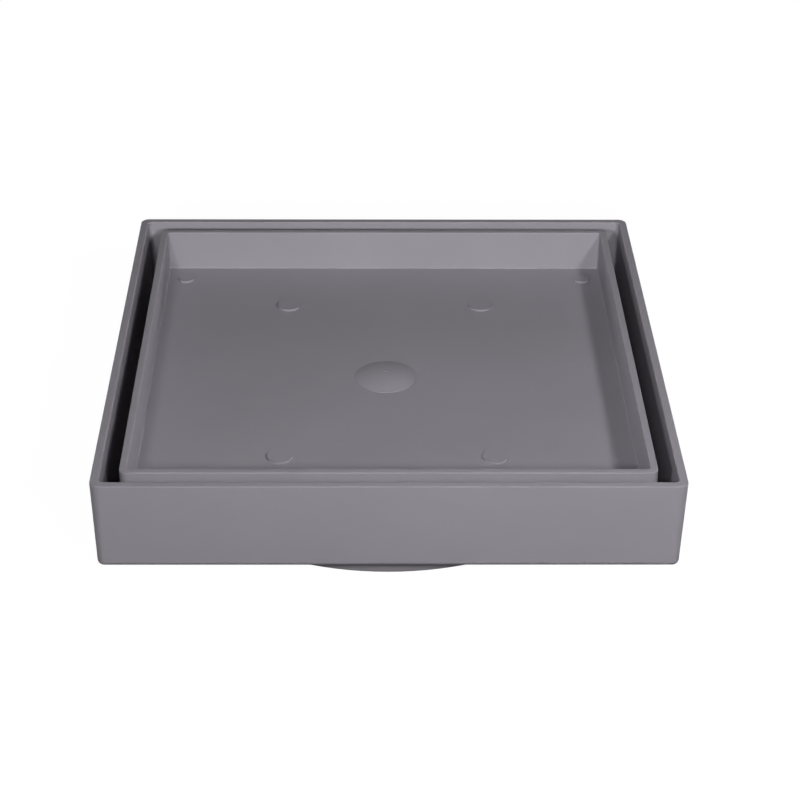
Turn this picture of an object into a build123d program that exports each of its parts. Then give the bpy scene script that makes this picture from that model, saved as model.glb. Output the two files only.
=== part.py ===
from build123d import *
from math import radians, tan
import os

os.makedirs("parts", exist_ok=True)

# Driving dimensions of the outlet, in millimetres
spigot_diameter = 98.0
spigot_wall = 2.0
spigot_length = 5.3
spigot_edge = 0.25
outlet_lip = 0.8

# Driving dimensions of the frame, in millimetres and degrees
floor_ledge = 6.0
frame_wall = 1.6
frame_floor = 2.0
frame_draft = 1.5
frame_corner = 1.3
pocket_corner = 0.6
hollow_edge = 0.25
rim_edge = 0.2

# Driving dimensions of the tile tray, in millimetres and degrees
slot_width = 3.4
rim_drop = 0.25
tile_depth = 9.0
tray_wall = 1.4
tray_floor = 1.5
tray_draft = 0.4
tray_corner = 1.4
tray_base_edge = 0.8
recess_corner = 0.6

# Driving dimensions of the tray's feet and moulding marks, in millimetres and degrees
foot_diameter = 6.0
foot_height = 5.6
foot_margin = 2.6
foot_draft = 2.0
pad_diameter = 5.0
pad_height = 0.45
pad_spacing_x = 42.0
pad_spacing_y = 61.5
corner_pad_diameter = 3.6
corner_pad_margin_x = 4.2
corner_pad_margin_y = 5.4
dome_diameter = 12.7
dome_height = 1.15
dome_step = 0.15
gate_diameter = 1.2
gate_depth = 0.15

# Levels above the spigot's lower end
frame_underside = spigot_length
floor_level = frame_underside + frame_floor
tray_underside = floor_level + foot_height
tile_bed = tray_underside + tray_floor
tray_rim = tile_bed + tile_depth
frame_rim = tray_rim + rim_drop

# Widths at the rims, and the spacing of the feet and the corner marks
outlet_diameter = spigot_diameter - 2 * spigot_wall
frame_side = spigot_diameter + 2 * floor_ledge
pocket_side = frame_side - 2 * frame_wall
tray_side = pocket_side - 2 * slot_width
recess_side = tray_side - 2 * tray_wall
foot_spacing = tray_side - 2 * foot_margin - foot_diameter
corner_pad_spacing_x = recess_side - 2 * corner_pad_margin_x
corner_pad_spacing_y = recess_side - 2 * corner_pad_margin_y

# The fillet round the frame's underside stays below the radius of the corners that it turns
base_edge_share = 0.85
frame_base_edge = base_edge_share * frame_corner

# How near an edge has to lie to a level to count as being on it
level_tolerance = 0.001


def drafted_block(top_side, corner, bottom, top, angle):
    """Square block whose walls lean out from rounded corners at its bottom to top_side at its top."""
    bottom_side = top_side - 2 * (top - bottom) * tan(radians(angle))
    with BuildPart() as block:
        with BuildSketch(Plane.XY.offset(bottom)):
            RectangleRounded(bottom_side, bottom_side, corner)
        extrude(amount=top - bottom)
        walls = block.faces().filter_by(Axis.Z, reverse=True)
        draft(walls, Plane.XY.offset(bottom), -angle)
    return block.part


def edges_at(level, edges):
    """Pick the edges that lie flat at one level."""
    lowest = level - level_tolerance
    highest = level + level_tolerance
    return edges.filter_by(Plane.XY).filter_by_position(Axis.Z, lowest, highest)


frame_block = drafted_block(frame_side, frame_corner, frame_underside, frame_rim, frame_draft)
pocket_block = drafted_block(pocket_side, pocket_corner, floor_level, frame_rim, frame_draft)
tray_block = drafted_block(tray_side, tray_corner, tray_underside, tray_rim, tray_draft)
recess_block = drafted_block(recess_side, recess_corner, tile_bed, tray_rim, tray_draft)

# Square frame: a wall of even thickness round an open pocket, with the outlet below
with BuildPart() as drain_frame:
    add(frame_block)
    fillet(edges_at(frame_underside, drain_frame.edges()), radius=frame_base_edge)
    add(pocket_block, mode=Mode.SUBTRACT)
    chamfer(edges_at(floor_level, drain_frame.edges()), length=hollow_edge)
    fillet(edges_at(frame_rim, drain_frame.edges()), radius=rim_edge)

    # Spigot that enters the drain pipe
    with BuildSketch(Plane.XY):
        Circle(spigot_diameter / 2)
    extrude(amount=spigot_length)
    chamfer(edges_at(0, drain_frame.edges()), length=spigot_edge)

    # Outlet with a bevelled mouth in the floor
    with BuildSketch(Plane.XY):
        Circle(outlet_diameter / 2)
    extrude(amount=floor_level, mode=Mode.SUBTRACT)
    chamfer(edges_at(floor_level, drain_frame.edges(Select.LAST)), length=outlet_lip)
drain_frame.part.label = "drain_frame"

# Tile tray: a shallow square dish on four feet
with BuildPart() as tile_tray:
    add(tray_block)
    chamfer(edges_at(tray_underside, tile_tray.edges()), length=tray_base_edge)
    add(recess_block, mode=Mode.SUBTRACT)
    fillet(edges_at(tile_bed, tile_tray.edges()), radius=hollow_edge)
    fillet(edges_at(tray_rim, tile_tray.edges()), radius=rim_edge)

    # Feet under the corners
    with BuildSketch(Plane.XY.offset(tray_underside)):
        with GridLocations(foot_spacing, foot_spacing, 2, 2):
            Circle(foot_diameter / 2)
    extrude(amount=-foot_height, taper=foot_draft)

    # Raised ejector marks, in the corners and across the middle of the tile bed
    with BuildSketch(Plane.XY.offset(tile_bed)):
        with GridLocations(corner_pad_spacing_x, corner_pad_spacing_y, 2, 2):
            Circle(corner_pad_diameter / 2)
        with GridLocations(pad_spacing_x, pad_spacing_y, 2, 2):
            Circle(pad_diameter / 2)
    extrude(amount=pad_height)

    # Low stepped dome opposite the moulding gate, hollow below so that the floor keeps its thickness
    for level, mode in ((tile_bed, Mode.ADD), (tray_underside, Mode.SUBTRACT)):
        with BuildSketch(Plane.XZ):
            with BuildLine():
                middle = (0, level)
                crown = (0, level + dome_height)
                step = (dome_diameter / 2, level + dome_step)
                foot = (dome_diameter / 2, level)
                Line(middle, crown)
                TangentArc(crown, step, tangent=(1, 0))
                Polyline(step, foot, middle)
            make_face()
        revolve(axis=Axis.Z, mode=mode)

    # Dimple at the dome's crown
    with BuildSketch(Plane.XY.offset(tile_bed + dome_height)):
        Circle(gate_diameter / 2)
    extrude(amount=-gate_depth, mode=Mode.SUBTRACT)
tile_tray.part.label = "tile_tray"

export_step(drain_frame.part, "parts/drain_frame.step")
export_step(tile_tray.part, "parts/tile_tray.step")
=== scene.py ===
import math

import bpy
from mathutils import Matrix, Vector


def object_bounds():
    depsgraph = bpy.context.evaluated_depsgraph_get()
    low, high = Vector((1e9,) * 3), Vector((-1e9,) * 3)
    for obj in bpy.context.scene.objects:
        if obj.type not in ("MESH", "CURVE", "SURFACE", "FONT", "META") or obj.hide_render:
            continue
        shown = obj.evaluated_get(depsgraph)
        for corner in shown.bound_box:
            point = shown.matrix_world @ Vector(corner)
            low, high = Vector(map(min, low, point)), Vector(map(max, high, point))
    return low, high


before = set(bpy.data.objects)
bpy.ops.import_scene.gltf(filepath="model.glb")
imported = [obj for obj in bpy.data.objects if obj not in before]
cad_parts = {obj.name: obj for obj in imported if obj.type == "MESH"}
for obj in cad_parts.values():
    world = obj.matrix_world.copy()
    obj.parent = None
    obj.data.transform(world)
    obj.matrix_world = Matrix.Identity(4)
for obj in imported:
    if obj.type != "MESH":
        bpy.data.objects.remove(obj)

cad_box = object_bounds()
scene = bpy.context.scene
scene.view_settings.view_transform = "Standard"

# Centre of the frame's rim, which the lamps aim at, and half of the frame's side
RIM = Vector((0.0, 0.0, cad_box[1].z))
HALF_SIDE = cad_box[1].x

# Violet grey of the plastic as linear values, and the share by which its clouding darkens and lightens it
PLASTIC_GREY = (0.300, 0.284, 0.318)
CLOUDING = 0.03

# Noise values at which the clouding is darkest and lightest
CLOUD_ENDS = (0.3, 0.7)

# Refractive index of the plastic
PLASTIC_IOR = 1.46

# Where each piece lies in the noise, so that the two don't share one pattern
NOISE_PLACES = {"drain_frame": (0.0, 0.0, 0.0), "tile_tray": (0.31, 0.17, 0.05)}

# Distance and height of the backdrop, grey of the stage's paint, and white that it shows besides
STAGE_REACH = 3.0
STAGE_HEIGHT = 0.7
STAGE_GREY = 0.1
STAGE_GLOW = 0.97

# Distances from the drain's axis between which the drain's painted shadow on the floor clears, in
# reflections: inside them the floor's glow is masked off
PAINTED_SHADOW_START = 0.9 * HALF_SIDE
PAINTED_SHADOW_END = 2.2 * HALF_SIDE

# The photograph's camera: lens and sensor in millimetres, shift as a share of the image's width
LENS = 94.32
SENSOR = 36.0
SHIFT = 0.0275

# Its place in metres, and its turn, dip below the horizontal and roll in degrees
CAMERA_PLACE = (-0.005153, -0.374245, 0.235606)
CAMERA_TURN = -0.540
CAMERA_DIP = 31.211
CAMERA_ROLL = 0.301


def add_node(tree, kind, **values):
    """Add a shader node and set its sockets by name."""
    node = tree.nodes.new(kind)
    for name, value in values.items():
        node.inputs[name.replace("_", " ")].default_value = value
    return node


def moulded_plastic(name, noise_place):
    """Satin moulded plastic: fine grain, faint clouding of the grey and uneven gloss."""
    material = bpy.data.materials.new(name)
    material.use_nodes = True
    tree = material.node_tree
    bsdf = tree.nodes["Principled BSDF"]
    bsdf.inputs["IOR"].default_value = PLASTIC_IOR
    place = tree.nodes.new("ShaderNodeTexCoord")
    offset = add_node(tree, "ShaderNodeMapping", Location=noise_place)
    tree.links.new(place.outputs["Object"], offset.inputs["Vector"])

    # Clouding of the grey, in patches of about two centimetres
    cloud = add_node(tree, "ShaderNodeTexNoise", Scale=45.0, Detail=4.0, Roughness=0.55)
    tree.links.new(offset.outputs["Vector"], cloud.inputs["Vector"])
    tint = tree.nodes.new("ShaderNodeValToRGB")
    shares = (1.0 - CLOUDING, 1.0 + CLOUDING)
    for stop, position, share in zip(tint.color_ramp.elements, CLOUD_ENDS, shares):
        stop.position = position
        stop.color = [share * c for c in PLASTIC_GREY] + [1.0]
    tree.links.new(cloud.outputs["Fac"], tint.inputs["Fac"])
    tree.links.new(tint.outputs["Color"], bsdf.inputs["Base Color"])

    # Gloss that changes a little over the surface
    gloss = add_node(tree, "ShaderNodeMapRange", To_Min=0.45, To_Max=0.55)
    tree.links.new(cloud.outputs["Fac"], gloss.inputs["Value"])
    tree.links.new(gloss.outputs["Result"], bsdf.inputs["Roughness"])

    # Fine grain of the mould's surface
    grain = add_node(tree, "ShaderNodeTexNoise", Scale=4500.0, Detail=2.0)
    tree.links.new(offset.outputs["Vector"], grain.inputs["Vector"])
    bump = add_node(tree, "ShaderNodeBump", Strength=0.06, Distance=0.0001)
    tree.links.new(grain.outputs["Fac"], bump.inputs["Height"])
    tree.links.new(bump.outputs["Normal"], bsdf.inputs["Normal"])
    return material


def combine(tree, operation, first, second):
    """Join two values with a math node."""
    node = tree.nodes.new("ShaderNodeMath")
    node.operation = operation
    tree.links.new(first, node.inputs[0])
    tree.links.new(second, node.inputs[1])
    return node.outputs["Value"]


def shown_white(tree):
    """Value of 1 where the camera sees the stage, or a reflection does clear of the drain's painted shadow,
    a mask that cuts the glow near the drain.
    """
    path = tree.nodes.new("ShaderNodeLightPath")
    place = tree.nodes.new("ShaderNodeTexCoord")
    away = tree.nodes.new("ShaderNodeVectorMath")
    away.operation = "LENGTH"
    tree.links.new(place.outputs["Object"], away.inputs["Vector"])
    # Painted shadow: in reflections the glow fades out towards the drain's axis
    clear = add_node(tree, "ShaderNodeMapRange", From_Min=PAINTED_SHADOW_START, From_Max=PAINTED_SHADOW_END)
    tree.links.new(away.outputs["Value"], clear.inputs["Value"])
    mirrored = combine(tree, "MAXIMUM", path.outputs["Is Glossy Ray"], path.outputs["Is Transmission Ray"])
    mirrored = combine(tree, "MULTIPLY", mirrored, clear.outputs["Result"])
    return combine(tree, "MAXIMUM", path.outputs["Is Camera Ray"], mirrored)


def white_paint():
    """Paint that the camera sees as white with a faint shadow, and that throws little light on the drain."""
    material = bpy.data.materials.new("white_paint")
    material.use_nodes = True
    tree = material.node_tree
    tree.nodes.remove(tree.nodes["Principled BSDF"])
    paint = add_node(tree, "ShaderNodeBsdfDiffuse", Color=(STAGE_GREY, STAGE_GREY, STAGE_GREY, 1.0))
    glow = add_node(tree, "ShaderNodeEmission", Strength=STAGE_GLOW)
    both = tree.nodes.new("ShaderNodeAddShader")
    tree.links.new(paint.outputs["BSDF"], both.inputs[0])
    tree.links.new(glow.outputs["Emission"], both.inputs[1])
    pick = tree.nodes.new("ShaderNodeMixShader")
    # Reflections show the glow only away from the drain, with a painted shadow near it
    tree.links.new(shown_white(tree), pick.inputs["Fac"])
    tree.links.new(paint.outputs["BSDF"], pick.inputs[1])
    tree.links.new(both.outputs["Shader"], pick.inputs[2])
    tree.links.new(pick.outputs["Shader"], tree.nodes["Material Output"].inputs["Surface"])
    return material


def add_stage():
    """Flat floor under the drain, with a low backdrop far off on each side."""
    near, far = -STAGE_REACH, STAGE_REACH
    corners = [(near, near), (far, near), (far, far), (near, far)]
    points = [(x, y, z) for z in (0.0, STAGE_HEIGHT) for x, y in corners]
    count = len(corners)
    sides = [(i, (i + 1) % count, (i + 1) % count + count, i + count) for i in range(count)]
    mesh = bpy.data.meshes.new("stage")
    mesh.from_pydata(points, [], [tuple(range(count))] + sides)
    mesh.materials.append(white_paint())
    stage = bpy.data.objects.new("stage", mesh)
    scene.collection.objects.link(stage)


def add_world(ambient):
    """White light from all round at the given strength."""
    world = bpy.data.worlds.new("studio")
    scene.world = world
    world.use_nodes = True
    sky = world.node_tree.nodes["Background"]
    sky.inputs["Color"].default_value = (1.0, 1.0, 1.0, 1.0)
    sky.inputs["Strength"].default_value = ambient


def add_lamp(name, azimuth, elevation, distance, size, level, even=False):
    """Round soft lamp aimed at the rim's centre, whose level is the light it gives there against white.

    An even lamp gives that light at any distance.
    """
    turn = math.radians(azimuth)
    rise = math.radians(elevation)
    away = Vector((math.sin(turn) * math.cos(rise), -math.cos(turn) * math.cos(rise), math.sin(rise)))
    data = bpy.data.lights.new(name, "AREA")
    data.shape = "DISK"
    data.size = size
    data.energy = level * (math.pi * distance) ** 2
    if even:
        data.use_nodes = True
        falloff = add_node(data.node_tree, "ShaderNodeLightFalloff", Strength=distance ** -2)
        emission = data.node_tree.nodes["Emission"]
        data.node_tree.links.new(falloff.outputs["Constant"], emission.inputs["Strength"])
    lamp = bpy.data.objects.new(name, data)
    lamp.location = RIM + distance * away
    lamp.rotation_mode = "QUATERNION"
    lamp.rotation_quaternion = (-away).to_track_quat("-Z", "Y")
    scene.collection.objects.link(lamp)


def add_camera():
    """Camera at the photograph's view."""
    data = bpy.data.cameras.new("camera")
    data.lens = LENS
    data.sensor_width = SENSOR
    data.shift_x = SHIFT
    camera = bpy.data.objects.new("camera", data)

    # A camera that isn't tilted looks straight down
    turn = Matrix.Rotation(math.radians(CAMERA_TURN), 4, "Z")
    tilt = Matrix.Rotation(math.radians(90.0 - CAMERA_DIP), 4, "X")
    roll = Matrix.Rotation(math.radians(CAMERA_ROLL), 4, "Z")
    camera.matrix_world = Matrix.Translation(CAMERA_PLACE) @ turn @ tilt @ roll
    scene.collection.objects.link(camera)
    scene.camera = camera


for name, noise_place in NOISE_PLACES.items():
    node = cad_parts[name]
    node.data.materials.clear()
    node.data.materials.append(moulded_plastic(name, noise_place))

add_stage()
add_world(ambient=0.03)
add_lamp("front", azimuth=8.5, elevation=25.5, distance=0.224, size=0.028, level=0.35, even=True)
add_lamp("left", azimuth=-19.3, elevation=24.5, distance=0.233, size=0.028, level=0.34, even=True)
add_lamp("right", azimuth=39, elevation=38, distance=0.28, size=0.035, level=0.40)
for name, azimuth in (("behind_right", 130), ("behind_left", -130)):
    add_lamp(name, azimuth, elevation=5, distance=1.2, size=0.3, level=0.22)
add_camera()
